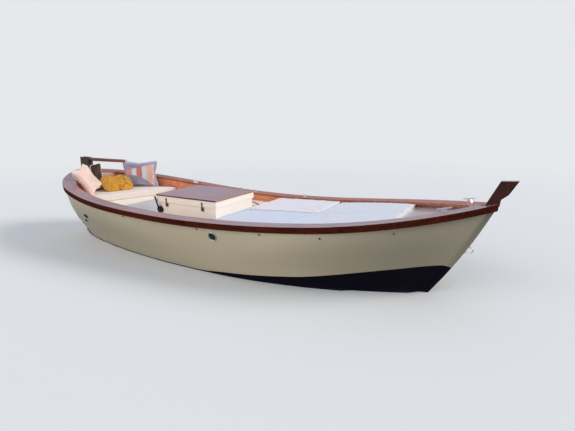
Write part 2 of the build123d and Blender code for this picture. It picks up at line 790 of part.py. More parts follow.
# Rudder: stock and blade, its tube through the stern and the heel shoe on the keel
heel_top = -keel_draught
shoe_back_x = rudder_x - 2 * shoe_half_width
with BuildPart() as heel_shoe:
    shoe_x = (shoe_back_x, deadwood_x + 300)
    shoe_y = (-shoe_half_width, shoe_half_width)
    shoe_top = -keel_draught - seat_clear
    add(block(shoe_x, shoe_y, (shoe_top - shoe_thickness, shoe_top)))
    with Locations((rudder_x, 0, shoe_top)):
        Cylinder(heel_radius + pin_clear, 200, mode=Mode.SUBTRACT)
finish(heel_shoe.part, "heel_shoe")

# The hull's run over the blade: a straight line in side view up to the waterline's aft end
stern_edge = topsides[0][1] * half_length
run_slope = hull_draught * underwater[2][0] / (underwater[2][1] * half_length - stern_edge)
blade_nose_x = rudder_x + blade_front
blade_tail_x = rudder_x - blade_back
with BuildPart() as foil:
    with BuildSketch(Plane.XY.offset(blade_bottom)):
        with BuildLine():
            nose = (blade_nose_x, 0)
            tail = (blade_tail_x, 0)
            ThreePointArc(nose, (rudder_x, blade_width / 2), tail)
            ThreePointArc(tail, (rudder_x, -blade_width / 2), nose)
        make_face()
    extrude(amount=-blade_bottom)
    with BuildSketch(Plane.XZ):
        with BuildLine():
            nose_top = run_slope * (blade_nose_x + moving_clear - stern_edge) - blade_hull_gap
            Polyline(
                (blade_nose_x + moving_clear, nose_top),
                (stern_edge, -blade_hull_gap),
                (blade_tail_x - moving_clear, -blade_hull_gap),
                (blade_tail_x - moving_clear, blade_hull_gap),
                (blade_nose_x + moving_clear, blade_hull_gap),
                close=True,
            )
        make_face()
    extrude(amount=blade_width, both=True, mode=Mode.SUBTRACT)

head_core_top = head_top - tiller_depth - 2 * moving_clear - tiller_headroom
stock_top = head_core_top - panel
with BuildPart() as rudder_blade:
    add(foil.part)
    with Locations((rudder_x, 0, blade_bottom)):
        Cylinder(stock_radius, stock_top - blade_bottom, align=(Align.CENTER, Align.CENTER, Align.MIN))
    with Locations((rudder_x, 0, shoe_top - shoe_thickness)):
        heel_length = blade_bottom - shoe_top + shoe_thickness
        Cylinder(heel_radius, heel_length, align=(Align.CENTER, Align.CENTER, Align.MIN))
finish(rudder_blade.part, "rudder_blade")

deck_at_rudder = sheer_height(rudder_x)
tube_low = run_slope * (rudder_x - stern_edge)
with BuildPart() as rudder_tube:
    with Locations((rudder_x, 0, tube_low)):
        tube_height = deck_at_rudder + rudder_tube_rise - tube_low
        Cylinder(rudder_tube_radius, tube_height, align=(Align.CENTER, Align.CENTER, Align.MIN))
        Cylinder(stock_radius + pin_clear, 3 * tube_height, mode=Mode.SUBTRACT)
finish(rudder_tube.part, "rudder_tube")

# Rudder head on top of the stock, slotted for the tiller, which lifts on a bolt
head_x = (rudder_x - head_back, rudder_x + head_front)
bolt_x = rudder_x - tiller_bolt_back
bolt_z = head_core_top + moving_clear + tiller_depth / 2
slot_half = tiller_width / 2 + tiller_side_gap
head_half = slot_half + head_cheek
across_head = Plane(origin=(bolt_x, 0, bolt_z), x_dir=(1, 0, 0), z_dir=(0, -1, 0))
with BuildPart() as rudder_head:
    add(block(head_x, (-head_half, head_half), (head_bottom, head_top)))
    fillet(rudder_head.edges().filter_by(Axis.Z), radius=head_cheek / 2)
    slot_x = (head_x[0] - panel, head_x[1] + panel)
    add(block(slot_x, (-slot_half, slot_half), (head_core_top, beyond)), mode=Mode.SUBTRACT)
    corner = [
        (head_x[1] - head_chamfer, head_top),
        (head_x[1] + panel, head_top),
        (head_x[1] + panel, head_top - head_chamfer),
        (head_x[1], head_top - head_chamfer),
    ]
    add(side_prism(corner, (-beyond, beyond)), mode=Mode.SUBTRACT)
    with Locations((rudder_x, 0, stock_top + seat_clear)):
        Cylinder(
            stock_radius + seat_clear,
            head_depth + head_rise,
            align=(Align.CENTER, Align.CENTER, Align.MAX),
            mode=Mode.SUBTRACT,
        )
    with Locations(across_head):
        Cylinder(tiller_bolt_radius + pin_clear, 4 * head_half, mode=Mode.SUBTRACT)
finish(rudder_head.part, "rudder_head")

with BuildPart() as tiller:
    with BuildSketch(Plane.YZ.offset(bolt_x)):
        with Locations((0, bolt_z)):
            RectangleRounded(tiller_width, tiller_depth, tiller_width / 4)
    with BuildSketch(Plane.YZ.offset(bolt_x + tiller_length)):
        with Locations((0, bolt_z + tiller_rise)):
            RectangleRounded(tiller_tip_width, tiller_tip_depth, tiller_tip_width / 4)
    loft()
    with Locations(across_head):
        Cylinder(tiller_depth / 2 - tiller_side_gap, tiller_width - 2 * tiller_side_gap)
        Cylinder(tiller_bolt_radius, 2 * head_half + 2 * moving_clear)
    for end in (-1, 1):
        with Locations(across_head.offset(end * (head_half + moving_clear))):
            Cylinder(1.8 * tiller_bolt_radius, tiller_bolt_radius)
finish(tiller.part, "tiller")

# Cleats on the rail: X, inset from the rail's edge, side, length, turn about the upright
cleats = [
    (aft_cleat_from_stern - half_length, 165.0, 1, 180.0, 0.0),
    (half_length - port_cleat_from_bow, 50.0, 1, 150.0, -25.0),
    (half_length - starboard_cleat_from_bow, 147.0, -1, 150.0, 25.0),
]
with BuildPart() as mooring_cleats:
    for cleat_x, inset, side, length, turn in cleats:
        foot = rail_plane(cleat_x, side * half_breadth(cleat_x, inset))
        side_view = foot * Location((0, 0, 0), (0, 0, turn)) * Location((0, 0, 0), (90, 0, 0))
        with BuildSketch(Plane(side_view)):
            with BuildLine():
                Polyline(
                    (-0.22 * length, 0),
                    (-0.12 * length, cleat_height - cleat_bar),
                    (-0.50 * length, cleat_height - 0.6 * cleat_bar),
                    (-0.50 * length, cleat_height),
                    (0.50 * length, cleat_height),
                    (0.50 * length, cleat_height - 0.6 * cleat_bar),
                    (0.12 * length, cleat_height - cleat_bar),
                    (0.22 * length, 0),
                    close=True,
                )
            make_face()
        extrude(amount=cleat_width / 2, both=True)
finish(mooring_cleats.part, "mooring_cleats")

# Fender sockets and the filler cap on the port rail
with BuildPart() as rail_sockets:
    for share in socket_shares:
        socket_x = share * half_length
        socket_plane = rail_plane(socket_x, half_breadth(socket_x, socket_inset))
        with BuildSketch(socket_plane):
            Circle(socket_radius)
            Circle(socket_bore, mode=Mode.SUBTRACT)
        extrude(amount=hinge_leaf)
        with BuildSketch(socket_plane.offset(hinge_leaf)):
            Circle(0.6 * socket_radius)
            Circle(socket_bore, mode=Mode.SUBTRACT)
        extrude(amount=socket_depth - hinge_leaf)
finish(rail_sockets.part, "rail_sockets")

filler_x = -0.098 * half_length
filler_plane = rail_plane(filler_x, half_breadth(filler_x, filler_inset))
with BuildPart() as filler_cap:
    with BuildSketch(filler_plane):
        Circle(filler_radius)
    extrude(amount=hinge_leaf)
    with BuildSketch(filler_plane.offset(hinge_leaf)):
        Circle(0.8 * filler_radius)
    extrude(amount=hinge_leaf)
finish(filler_cap.part, "filler_cap")

# Bow eye: a U-bolt standing on the face of the stem
legs_x = eye_point.X - eye_loop
bend_x = eye_point.X + eye_reach - eye_loop
with BuildPart() as bow_eye:
    with BuildLine(Plane.XZ):
        lower_leg = Line((legs_x, eye_point.Z - eye_loop), (bend_x, eye_point.Z - eye_loop))
        bend = TangentArc(lower_leg @ 1, (bend_x, eye_point.Z + eye_loop), tangent=(1, 0))
        Line(bend @ 1, (legs_x, eye_point.Z + eye_loop))
    with BuildSketch(Plane(origin=(legs_x, 0, eye_point.Z - eye_loop), z_dir=(1, 0, 0))):
        Circle(eye_radius)
    sweep()
    add(keel.part, mode=Mode.SUBTRACT)
    add(strake_skin, mode=Mode.SUBTRACT)
finish(bow_eye.part, "bow_eye")

# Vents, exhaust and drains: round plates that follow the shell. X, Z, radius, sides
vent_x = 0.108 * half_length
exhaust_x = exhaust_back - half_length
outlets = [
    (vent_x, sheer_height(vent_x) - vent_drop, vent_radius, (-1, 1)),
    (exhaust_x, exhaust_height, exhaust_radius, (-1,)),
    (exhaust_x, bilge_height, bilge_radius, (-1,)),
]
aft_drains = [(share, drain_drop) for share in (-0.320, 0.045, 0.302)]
fore_drains = [(share, fore_drain_drop) for share in (0.513, 0.727)]
for share, drop in aft_drains + fore_drains:
    drain_x = share * half_length
    outlets.append((drain_x, sheer_height(drain_x) - drop, drain_radius, (-1, 1)))
with BuildPart() as hull_outlets:
    for outlet_x, outlet_z, radius, sides in outlets:
        for side in sides:
            with BuildSketch(Plane.XZ):
                with Locations((outlet_x, outlet_z)):
                    Circle(radius)
            extrude(amount=-side * 2 * half_beam)
    add(hull_form(-outlet_thickness), mode=Mode.INTERSECT)
    add(strake_skin, mode=Mode.SUBTRACT)
finish(hull_outlets.part, "hull_outlets")

# Soft goods, each one simple block: the cushion, the pads and the pillows
soft_well = plan_prism(rail_width + soft_clear)
cushion_low = seat_height + seat_clear
cushion_high = seat_height + cushion_thickness
cushion_back_x = backrest_front_x + soft_clear
# The cushion's front edge runs aft towards starboard, to leave room beside the engine control
with BuildPart() as aft_cushion:
    with BuildSketch(Plane.XY.offset(cushion_low)):
        with BuildLine():
            Polyline(
                (cushion_back_x, -half_beam),
                (seat_front_x - cushion_skew, -half_beam),
                (seat_front_x, half_beam),
                (cushion_back_x, half_beam),
                close=True,
            )
        make_face()
    extrude(amount=cushion_high - cushion_low)
    add(soft_well, mode=Mode.INTERSECT)
    add(inside, mode=Mode.INTERSECT)
finish(aft_cushion.part, "aft_cushion")

# Sunbed pads: X and height over the platform along each pad's top
pad_joint_x = 0.3825 * half_length
low_profile = [(platform_back_x + 2, 90.0), (raised_pad_back, 125.0), (pad_joint_x - soft_clear, 73.0)]
raised_profile = [(raised_pad_back + soft_clear, 142.0), (pad_joint_x - soft_clear, 84.0)]
fore_profile = [(pad_joint_x + soft_clear, 74.0), (fore_coaming_x - soft_clear, 88.0)]
starboard_y = (-beyond, -soft_clear)
port_y = (soft_clear, beyond)


def pad_on_platform(profile, y_range):
    """A pad lying on the sloping platform, thick as its profile says."""
    slope_line = [(x, platform_height + platform_slope * (x - platform_back_x)) for x, thick in profile]
    top = [(x, z + thick) for (x, z), (_, thick) in zip(slope_line, profile)]
    foot = [(x, z + seat_clear) for x, z in slope_line]
    return side_prism(top + [foot[-1], foot[0]], y_range)


with BuildPart() as sunbed_pads:
    add(pad_on_platform(low_profile, starboard_y))
    add(pad_on_platform(low_profile[:2], (-2 * soft_clear, pad_arm_y)))
    add(pad_on_platform(raised_profile, port_y))
    add(pad_on_platform(fore_profile, starboard_y))
    add(pad_on_platform(fore_profile, port_y))
    add(soft_well, mode=Mode.INTERSECT)
    add(inside, mode=Mode.INTERSECT)
finish(sunbed_pads.part, "sunbed_pads")

# Pillows: name, distance from the stern, Y, lift off the cushion, width, height, thickness, roll, lean back, turn
striped_y = half_breadth(striped_from_stern - half_length, rail_width) - striped_off_side
pillows = [
    ("pillow_cream", 600.0, -340.0, 0.3, 470.0, 440.0, 110.0, 9.0, 32.0, 30.0),
    ("pillow_brown", 450.0, -40.0, 0.3, 200.0, 440.0, 50.0, 6.0, 0.0, 0.0),
    ("pillow_mustard", 720.0, 120.0, 0.3, 450.0, 360.0, 130.0, -2.0, 55.0, -20.0),
    ("pillow_striped", striped_from_stern, striped_y, 0.3, 580.0, 440.0, 105.0, 0.0, 5.0, -61.0),
]
for name, from_stern, at_y, lift, width, height, thickness, roll, lean, turn in pillows:
    with BuildPart() as cushion:
        Box(thickness, width, height)
        fillet(cushion.edges(), radius=0.42 * thickness)
    posed = cushion.part.rotate(Axis.X, roll).rotate(Axis.Y, -lean).rotate(Axis.Z, turn)
    drop = cushion_high + lift - posed.bounding_box().min.Z
    with BuildPart() as pillow:
        add(posed.translate((from_stern - half_length, at_y, drop)))
    finish(pillow.part, name)
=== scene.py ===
import math

import bmesh
import bpy
from mathutils import Euler, Matrix, Vector, noise
from mathutils.bvhtree import BVHTree


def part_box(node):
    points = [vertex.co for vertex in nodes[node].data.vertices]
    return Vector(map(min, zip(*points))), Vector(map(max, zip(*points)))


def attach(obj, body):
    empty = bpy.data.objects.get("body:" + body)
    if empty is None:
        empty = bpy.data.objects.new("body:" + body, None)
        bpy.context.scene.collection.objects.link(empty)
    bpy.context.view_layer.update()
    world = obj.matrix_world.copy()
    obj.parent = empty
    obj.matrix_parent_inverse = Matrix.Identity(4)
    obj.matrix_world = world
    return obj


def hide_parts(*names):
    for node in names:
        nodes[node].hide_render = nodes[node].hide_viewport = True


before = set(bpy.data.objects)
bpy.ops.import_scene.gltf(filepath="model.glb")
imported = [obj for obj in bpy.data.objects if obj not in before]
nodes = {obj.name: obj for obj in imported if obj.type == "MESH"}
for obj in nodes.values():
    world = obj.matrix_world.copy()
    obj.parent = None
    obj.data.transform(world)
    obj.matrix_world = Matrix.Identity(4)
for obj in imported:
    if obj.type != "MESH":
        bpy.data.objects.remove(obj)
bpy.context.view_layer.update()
scene = bpy.context.scene
print("frame loaded:", len(nodes), "nodes")

mm = 0.001
upward = Vector((0, 0, 1))


def linear(code):
    channels = [int(code[i:i + 2], 16) / 255 for i in (1, 3, 5)]
    return [c / 12.92 if c <= 0.04045 else ((c + 0.055) / 1.055) ** 2.4 for c in channels] + [1.0]


def addNode(tree, kind, inputs=(), **settings):
    # inputs: socket name or number -> value or the socket that feeds it
    node = tree.nodes.new(kind)
    for name, value in settings.items():
        setattr(node, name, value)
    for socket, value in dict(inputs).items():
        if isinstance(value, bpy.types.NodeSocket):
            tree.links.new(value, node.inputs[socket])
        else:
            node.inputs[socket].default_value = value
    return node


def objectPlace(tree):
    return addNode(tree, "ShaderNodeTexCoord").outputs["Object"]


def splitAxes(tree, place):
    return addNode(tree, "ShaderNodeSeparateXYZ", {0: place}).outputs


def maths(tree, operation, *values):
    return addNode(tree, "ShaderNodeMath", enumerate(values), operation=operation).outputs[0]


def rescale(tree, value, start, end, **settings):
    # start and end: the range that comes in and the range that goes out
    sockets = {"Value": value, "From Min": start[0], "From Max": start[1], "To Min": end[0], "To Max": end[1]}
    return addNode(tree, "ShaderNodeMapRange", sockets, **settings).outputs[0]


def scaleColour(tree, colour, factor):
    vector = colour if isinstance(colour, bpy.types.NodeSocket) else colour[:3]
    return addNode(tree, "ShaderNodeVectorMath", {0: vector, "Scale": factor}, operation="SCALE").outputs[0]


def blend(tree, share, first, second):
    return addNode(tree, "ShaderNodeMix", {0: share, 6: first, 7: second}, data_type="RGBA").outputs[2]


def cloudNoise(tree, place, scale, detail, roughness=0.5):
    sockets = {"Vector": place, "Scale": scale, "Detail": detail, "Roughness": roughness}
    return addNode(tree, "ShaderNodeTexNoise", sockets).outputs[0]


def bumpFrom(tree, shader, height, strength, distance):
    bump = addNode(tree, "ShaderNodeBump", {"Height": height, "Strength": strength, "Distance": distance})
    tree.links.new(bump.outputs["Normal"], shader.inputs["Normal"])


def newMaterial(name, shaderValues):
    material = bpy.data.materials.new(name)
    material.use_nodes = True
    shader = material.node_tree.nodes["Principled BSDF"]
    for socket, value in shaderValues.items():
        shader.inputs[socket].default_value = value
    return material, material.node_tree, shader


def varnishedWood(name, dark, light, grainWidth=6, grainLength=260, along="x", coat=0.6, sheen=0.28,
                  wear=0.25, gloss=0.5):
    # Straight-grained hardwood under brushed varnish: dark pores drawn out along the board
    material, tree, shader = newMaterial(name, {"Roughness": sheen, "IOR": 1.5, "Specular IOR Level": gloss,
                                                "Coat Weight": coat, "Coat Roughness": 0.12, "Coat IOR": 1.5})
    place = objectPlace(tree)
    across, down = 1 / (grainWidth * mm), 1 / (grainLength * mm)
    scales = {"x": (down, across, across), "y": (across, down, across), "z": (across, across, down)}[along]
    drawn = addNode(tree, "ShaderNodeMapping", {"Vector": place, "Scale": scales}).outputs["Vector"]
    figure = cloudNoise(tree, drawn, 0.35, 5.0, 0.6)
    pores = cloudNoise(tree, drawn, 2.6, 2.0)
    patches = cloudNoise(tree, place, 1.7, 3.0)
    board = blend(tree, rescale(tree, figure, (0.32, 0.68), (0, 1)), linear(dark), linear(light))
    tone = rescale(tree, patches, (0.3, 0.7), (1 - wear, 1 + wear))
    fine = rescale(tree, pores, (0.35, 0.55), (0.8, 1.0))
    shade = scaleColour(tree, board, maths(tree, "MULTIPLY", tone, fine))
    tree.links.new(shade, shader.inputs["Base Color"])
    bumpFrom(tree, shader, figure, 0.15, 0.4 * mm)
    return material


def gelcoat(name, colour, gloss=0.22, mottle=0.06, ripple=0.25, chalk=0.18):
    # Polyester gelcoat off a mould: glossy, with faint waviness and chalky patches
    material, tree, shader = newMaterial(name, {"Roughness": gloss, "IOR": 1.5, "Coat Weight": 0.25,
                                                "Coat Roughness": 0.1})
    place = objectPlace(tree)
    cloud = cloudNoise(tree, place, 2.2, 6.0, 0.65)
    tone = rescale(tree, cloud, (0.3, 0.7), (1 - mottle, 1 + 0.5 * mottle))
    tree.links.new(scaleColour(tree, linear(colour), tone), shader.inputs["Base Color"])
    dull = rescale(tree, cloud, (0.35, 0.7), (gloss, gloss + chalk))
    tree.links.new(dull, shader.inputs["Roughness"])
    bumpFrom(tree, shader, cloudNoise(tree, place, 9.0, 1.0), ripple, 1.0 * mm)
    return material


# Height of the paint line over the water along the hull, both in metres
paintLine = [(-3.4, 0.016), (-0.4, 0.016), (0.0, 0.018), (0.28, 0.046), (0.71, 0.078), (1.09, 0.112),
             (1.33, 0.137), (1.67, 0.194), (1.98, 0.253), (2.38, 0.318), (2.66, 0.351), (2.77, 0.352),
             (2.84, 0.328), (3.4, 0.30)]
# Dried scum fades out above the water; painted shade darkens the topsides from one X towards the bow
hullScumAndBowShade = {"scumHeight": 0.12, "scumShade": 0.86, "bowShadeFrom": 0.9, "bowShadeTo": 2.7, "bowShadeLevel": 0.66}


def paintedHull(name, topside, bottom):
    # The same gelcoat with black antifouling rolled on up to a line that climbs towards the bow
    material = gelcoat(name, topside, gloss=0.24, mottle=0.015, ripple=0.0, chalk=0.04)
    tree = material.node_tree
    shader = tree.nodes["Principled BSDF"]
    cream = shader.inputs["Base Color"].links[0].from_socket
    dull = shader.inputs["Roughness"].links[0].from_socket
    place = objectPlace(tree)
    axes = splitAxes(tree, place)
    low, high = paintLine[0][0], paintLine[-1][0]
    curve = addNode(tree, "ShaderNodeFloatCurve", {"Value": rescale(tree, axes["X"], (low, high), (0, 1))})
    points = curve.mapping.curves[0].points
    for x, z in paintLine:
        spot = ((x - low) / (high - low), z)
        if x in (low, high):
            points[0 if x == low else -1].location = spot
        else:
            points.new(*spot)
    curve.mapping.update()
    over = maths(tree, "SUBTRACT", axes["Z"], curve.outputs[0])
    ragged = rescale(tree, cloudNoise(tree, place, 60.0, 2.0), (0, 1), (-1.5 * mm, 1.5 * mm))
    isTop = rescale(tree, maths(tree, "ADD", over, ragged), (0, 2.0 * mm), (0, 1))
    scum = rescale(tree, axes["Z"], (0, hullScumAndBowShade["scumHeight"]), (hullScumAndBowShade["scumShade"], 1))
    # Painted shade: the topsides grow darker towards the bow
    bowShadeFactor = rescale(tree, axes["X"], (hullScumAndBowShade["bowShadeFrom"], hullScumAndBowShade["bowShadeTo"]), (1, hullScumAndBowShade["bowShadeLevel"]),
                   interpolation_type="SMOOTHSTEP")
    scummedAndShaded = scaleColour(tree, cream, maths(tree, "MULTIPLY", scum, bowShadeFactor))
    tree.links.new(blend(tree, isTop, linear(bottom), scummedAndShaded), shader.inputs["Base Color"])
    rough = addNode(tree, "ShaderNodeMix", {0: isTop, 2: 0.45, 3: dull})
    tree.links.new(rough.outputs[0], shader.inputs["Roughness"])
    for socket, below, above in (("Specular IOR Level", 0.06, 0.5), ("Coat Weight", 0.0, 0.2)):
        tree.links.new(rescale(tree, isTop, (0, 1), (below, above)), shader.inputs[socket])
    return material


def metal(name, colour, roughness, brushed=0.0):
    # Solid metal, polished or as cast, with a breath of tarnish in its roughness
    material, tree, shader = newMaterial(name, {"Metallic": 1.0, "Roughness": roughness})
    stain = cloudNoise(tree, objectPlace(tree), 45.0, 4.0)
    tone = rescale(tree, stain, (0, 1), (0.85, 1.08))
    tree.links.new(scaleColour(tree, linear(colour), tone), shader.inputs["Base Color"])
    dull = rescale(tree, stain, (0, 1), (roughness * 0.7, roughness * 1.5 + 0.04))
    tree.links.new(dull, shader.inputs["Roughness"])
    if brushed:
        bumpFrom(tree, shader, stain, brushed, 0.5 * mm)
    return material


def paintOrPlastic(name, colour, roughness, grain=0.4, grainSize=1.5):
    # Moulded plastic or brushed paint: one colour, fine orange peel
    material, tree, shader = newMaterial(name, {"Roughness": roughness, "IOR": 1.46})
    place = objectPlace(tree)
    tone = rescale(tree, cloudNoise(tree, place, 8.0, 4.0), (0.3, 0.7), (0.85, 1.12))
    tree.links.new(scaleColour(tree, linear(colour), tone), shader.inputs["Base Color"])
    bumpFrom(tree, shader, cloudNoise(tree, place, 1 / (grainSize * mm) / 4, 2.0), grain, 0.3 * mm)
    return material


def cloth(name, colour, shadow, thread=1.6, fuzz=0.3, weave=0.5, blotch=0.08, field=None):
    # Plain weave: crossed sets of threads. Thread spacing is drawn coarser than the real 0.6 mm
    # so that it shows in the picture. The folds attribute paints shade deep in a crease
    material, tree, shader = newMaterial(name, {"Roughness": 0.85, "Sheen Weight": fuzz,
                                                "Sheen Roughness": 0.5, "Specular IOR Level": 0.25})
    place = objectPlace(tree)
    axes = splitAxes(tree, place)
    turns = math.tau / (thread * mm)
    waves = [maths(tree, "SINE", maths(tree, "MULTIPLY", axes[axis], turns)) for axis in "XYZ"]
    threads = maths(tree, "ADD", maths(tree, "ADD", waves[0], waves[1]), waves[2])
    height = rescale(tree, threads, (-2.0, 2.0), (0, 1))
    tone = rescale(tree, cloudNoise(tree, place, 7.0, 5.0, 0.6), (0.3, 0.7), (1 - blotch, 1 + blotch * 0.5))
    dyed = field(tree, axes) if field else linear(colour)
    between = scaleColour(tree, dyed, 0.92) if field else linear(shadow)
    deep = addNode(tree, "ShaderNodeAttribute", attribute_name="folds").outputs["Fac"]
    # Painted shade: the deeper a crease, the darker
    blotchAndCreaseShade = maths(tree, "MULTIPLY", tone, rescale(tree, deep, (0, 1), (1.0, 0.45)))
    shade = scaleColour(tree, blend(tree, height, between, dyed), blotchAndCreaseShade)
    tree.links.new(shade, shader.inputs["Base Color"])
    bumpFrom(tree, shader, height, weave, 0.4 * mm)
    return material


# The striped pillow's front: where the stripes begin and end across it, their cloth, and the painted shadow
# over one corner
stripeLook = {"width": 580 * mm, "height": 440 * mm, "field": "#aaa3bd", "shadowCorner": "#a8a0b0",
              "edges": (-0.40, -0.235, -0.095, 0.068, 0.21, 0.43),
              "colours": ("#e89ea0", "#e6edf2", "#e0888c", "#e6edf4", "#ffcfba")}


def stripes(tree, axes):
    # Upright stripes over a lilac field; a painted shadow with a curved edge covers the plain corner at
    # bottom left
    across = maths(tree, "MULTIPLY", axes["Y"], 1 / stripeLook["width"])
    down = maths(tree, "MULTIPLY", axes["Z"], -1 / stripeLook["height"])
    field = linear(stripeLook["field"])
    colour = field
    edges = stripeLook["edges"]
    for start, end, dye in zip(edges, edges[1:], stripeLook["colours"]):
        after = maths(tree, "GREATER_THAN", across, start)
        before = maths(tree, "LESS_THAN", across, end)
        colour = blend(tree, maths(tree, "MULTIPLY", after, before), colour, linear(dye))
    # The band's upper edge rises to the right: from a third to an eighth of the height
    rise = rescale(tree, across, (-0.4, 0.3), (-0.17, -0.38))
    topped = blend(tree, maths(tree, "LESS_THAN", down, rise), colour, field)
    # The curved edge of the painted shadow
    squared = maths(tree, "POWER", maths(tree, "ADD", across, 0.33), 2.0)
    shadowEdge = maths(tree, "MULTIPLY_ADD", squared, 0.75, 0.02)
    based = blend(tree, maths(tree, "GREATER_THAN", down, shadowEdge), topped, linear(stripeLook["shadowCorner"]))
    return blend(tree, maths(tree, "GREATER_THAN", axes["X"], 0.0), field, based)


# Gelcoat: a darker, yellower cream outside and a paler cream inside
hullPaint = paintedHull("topsideGelcoatAndAntifouling", "#dccaa8", "#14101c")
stemPaint = paintedHull("stemBandGelcoatAndAntifouling", "#b3a68f", "#14101c")
liner = gelcoat("linerGelcoat", "#fdf3e4", gloss=0.3, mottle=0.03, ripple=0.1)
foreLiner = gelcoat("foreCoamingGelcoat", "#fafaf8", gloss=0.3, mottle=0.03, ripple=0.1)
# Painted shade: the non-slip gelcoat's bluish grey stands for shade on the seat's forward face and the locker
# door; the sole takes it too
nonSlipShadedLiner = gelcoat("nonSlipGelcoatPaintedShade", "#c6c8d0", gloss=0.5, mottle=0.06, ripple=0.6)
# Mahogany: mauve on the starboard rail with painted sky reflection, redder to port, dark on the strakes,
# bright orange inside with painted sunlight, and darker forward with painted shade
skyTintedRailWood = varnishedWood("starboardRailMahoganyPaintedReflection", "#845a5e", "#ad838a", coat=0.5, wear=0.12)
portRailWood = varnishedWood("portRailMahogany", "#8a4430", "#b87358", coat=0.05, wear=0.12, gloss=0.15)
strakeWood = varnishedWood("rubbingStrakeMahogany", "#38130d", "#5c261a", coat=0.0, sheen=0.5, gloss=0.02)
# Painted shade: the coaming forward of an X is darker mahogany
shadedForeCoamingWood = varnishedWood("foreCoamingMahoganyPaintedShade", "#57352d", "#7d564a", coat=0.1, gloss=0.3)
# Painted sunlight: the coaming's bright orange stands for sun on the mahogany inside
sunlitCoamingWood = varnishedWood("coamingMahoganyPaintedSunlight", "#c46c48", "#f09e74", coat=0.1, grainWidth=8, gloss=0.3)
# The lid's board is matt, its mauve a painted sky reflection; its side edges carry painted shade and its
# forward edge painted sunlight, and the stem head's sides are nearly black with painted shade
skyTintedBoardWood = varnishedWood("lidBoardMahoganyPaintedReflection", "#8f7078", "#b094a0", coat=0.2, sheen=0.4, wear=0.08)
shadedEdgeWood = varnishedWood("boardEdgeMahoganyPaintedShade", "#5a2416", "#8a4229", coat=0.1, gloss=0.3)
sunlitForeEdgeWood = varnishedWood("boardForeEdgeMahoganyPaintedSunlight", "#b9704c", "#e0a07c", coat=0.3)
shadedHeadWood = varnishedWood("stemHeadMahoganyPaintedShade", "#2c1610", "#50281e", coat=0.05, along="z", gloss=0.2)
# Painted highlight: a pale wood for the lit edges of the stem head and the tiller's tip
highlightWood = varnishedWood("paleWoodPaintedHighlight", "#b7a294", "#dccdc2", coat=0.2, sheen=0.5)
# Painted reflection: the decks' pale lilac stands for sky on varnished mahogany
skyTintedDeckWood = varnishedWood("deckMahoganyPaintedReflection", "#a39394", "#c6b9ba", coat=0.5, sheen=0.25, wear=0.08)
tillerWood = varnishedWood("tillerAsh", "#5d3229", "#8d5648", coat=0.2, grainWidth=4, gloss=0.3)
# Metal and plastic: bright rail fittings, latches darkened with painted shade, yellow bronze and black
# mouldings
rudderIron = paintOrPlastic("rudderHeadPaintedSteel", "#2f2b28", 0.45)
stainless = metal("polishedStainless", "#eeeef0", 0.28)
shadedSteel = metal("steelLatchesPaintedShade", "#77757a", 0.4)
bronze = metal("castBronze", "#b08d57", 0.35, brushed=0.4)
blackPlastic = paintOrPlastic("mouldedBlackPlastic", "#17161a", 0.4)
grillePlastic = paintOrPlastic("darkTealGrille", "#0f2226", 0.3)
enginePaint = paintOrPlastic("enginePaint", "#4f565d", 0.35)
bottomPaint = paintOrPlastic("blackAntifouling", "#0d0a12", 0.6)
# Canvas covers: warm white aft; on the sunbed a bluish grey of painted shade, paler on the fore pads and
# palest on the raised pad; bright piping
cushionCloth = cloth("whiteCoatedCanvas", "#eee0d8", "#dfd4cd", fuzz=0.1, weave=0.25, blotch=0.03)
shadedPadCloth = cloth("whiteSunbedCanvasPaintedShade", "#d6dcec", "#c8d0e2", fuzz=0.1, weave=0.2, blotch=0.03)
shadedForePadCloth = cloth("whiteForePadCanvasPaintedShade", "#dcdfe9", "#ced2de", fuzz=0.1, weave=0.2, blotch=0.03)
raisedCloth = cloth("whiteBackrestCanvas", "#e8e4ec", "#dad6e0", fuzz=0.1, weave=0.2, blotch=0.03)
pipingCloth = cloth("whitePiping", "#f8f5f0", "#e8e4de", fuzz=0.1, weave=0.3)
# Pillows: pale pink linen, dark looped wool, coarse yellow knit and striped cotton
pinkLinen = cloth("blushLinen", "#fae0d3", "#eacbbd", thread=2.2, fuzz=0.3)
brownCloth = cloth("brownBoucle", "#5a4034", "#2f211b", thread=3.0, fuzz=0.5, blotch=0.3)
mustardKnit = cloth("mustardKnit", "#e6aa44", "#b87c1e", thread=5.0, fuzz=0.15, weave=0.8)
lilacStripe = cloth("lilacStripedCotton", stripeLook["field"], stripeLook["shadowCorner"], thread=2.0, fuzz=0.2,
                    field=stripes)
print("materials made:", len(bpy.data.materials))


def closedSolids(name):
    # A CAD node's solids as one bmesh each, ordered along X
    welded = bmesh.new()
    welded.from_mesh(nodes[name].data)
    bmesh.ops.remove_doubles(welded, verts=welded.verts, dist=0.02 * mm)
    left = set(welded.verts)
    solids = []
    while left:
        island, edge = set(), [left.pop()]
        while edge:
            vert = edge.pop()
            island.add(vert)
            for link in vert.link_edges:
                other = link.other_vert(vert)
                if other in left:
                    left.discard(other)
                    edge.append(other)
        solid = welded.copy()
        solid.verts.ensure_lookup_table()
        keep = {vert.index for vert in island}
        bmesh.ops.delete(solid, geom=[v for v in solid.verts if v.index not in keep], context="VERTS")
        bmesh.ops.recalc_face_normals(solid, faces=solid.faces)
        solids.append(solid)
    welded.free()
    return solids


